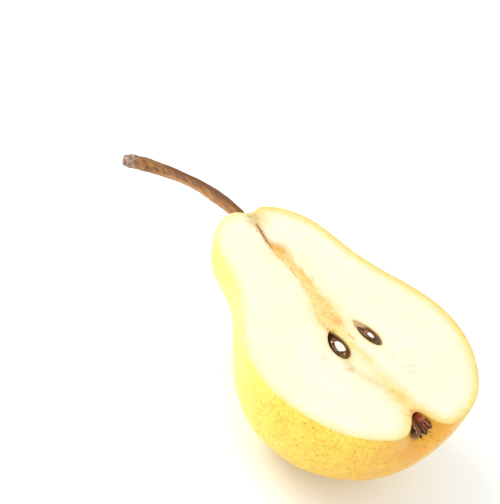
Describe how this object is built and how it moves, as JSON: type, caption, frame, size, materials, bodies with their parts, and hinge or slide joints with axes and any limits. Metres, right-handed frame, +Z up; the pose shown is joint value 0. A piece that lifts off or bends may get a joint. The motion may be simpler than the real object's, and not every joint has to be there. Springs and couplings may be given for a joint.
{
  "type": "pear",
  "caption": "Half pear cut lengthwise through the core, with stem, seeds in open seed chambers, yellow speckled skin and dried calyx; lies on its rounded side, cut face up.",
  "frame": {"origin": "middle of the small flat spot on the belly that the half rests on", "axes": "+Z up, square to the level cut face; -X along the core towards the stem, +X towards the calyx; Y across the cut face"},
  "size_m": [0.1207, 0.07, 0.0362],
  "materials": {
    "fruit": "moist cream-white flesh on the cut face; smooth yellow skin with small brown dots, golden towards the broad end",
    "stem_bark": "brown bark with fine lengthwise wrinkles",
    "seed_coat": "wet, dark brown, glossy",
    "dried_sepal": "dry, brown, matt and wrinkled",
    "dried_stamen": "dry, reddish brown threads"
  },
  "bodies": {
    "root": {"fruit_half": "fruit", "stem": "stem_bark", "seed_left": "seed_coat", "seed_right": "seed_coat", "sepal_1": "dried_sepal", "sepal_2": "dried_sepal", "sepal_3": "dried_sepal", "sepal_4": "dried_sepal", "stamen_1": "dried_stamen", "stamen_2": "dried_stamen", "stamen_3": "dried_stamen"}
  },
  "joints": []
}
